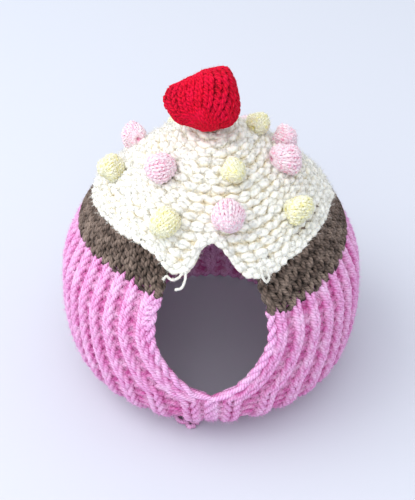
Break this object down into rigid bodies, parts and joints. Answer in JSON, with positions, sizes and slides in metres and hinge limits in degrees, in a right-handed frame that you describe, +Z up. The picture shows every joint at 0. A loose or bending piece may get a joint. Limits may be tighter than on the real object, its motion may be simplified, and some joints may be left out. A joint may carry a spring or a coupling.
{
  "type": "tea cosy",
  "caption": "Hollow knitted cosy shaped as an iced cake, open at the hem, with an opening at the front for a handle and one at the back for a spout.",
  "frame": {"origin": "middle of the hem, on the surface that the cosy stands on", "axes": "+Z up through the crown, -Y towards the handle opening, +X to the right of it"},
  "size_m": [0.1661, 0.1645, 0.1813],
  "materials": {
    "pink_rib": "knitted ribbed wool, matt and slightly fuzzy",
    "brown_cake": "plain knitted wool, matt",
    "cream_icing": "fuzzy purl knitted wool, matt",
    "pale_pink": "plain knitted wool, matt and fuzzy",
    "pale_yellow": "plain knitted wool, matt and fuzzy",
    "cherry_red": "plain knitted wool, matt"
  },
  "bodies": {
    "root": {"rib_left": "pink_rib", "rib_right": "pink_rib", "band_left": "brown_cake", "band_right": "brown_cake", "icing": "cream_icing", "bobble_01": "pale_pink", "bobble_02": "pale_yellow", "bobble_03": "pale_pink", "bobble_04": "pale_yellow", "bobble_05": "pale_pink", "bobble_06": "pale_pink", "bobble_07": "pale_yellow", "bobble_08": "pale_pink", "bobble_09": "pale_yellow", "bobble_10": "pale_yellow", "bobble_11": "pale_pink", "bobble_12": "pale_yellow", "bobble_13": "pale_pink", "cherry": "cherry_red"}
  },
  "joints": []
}
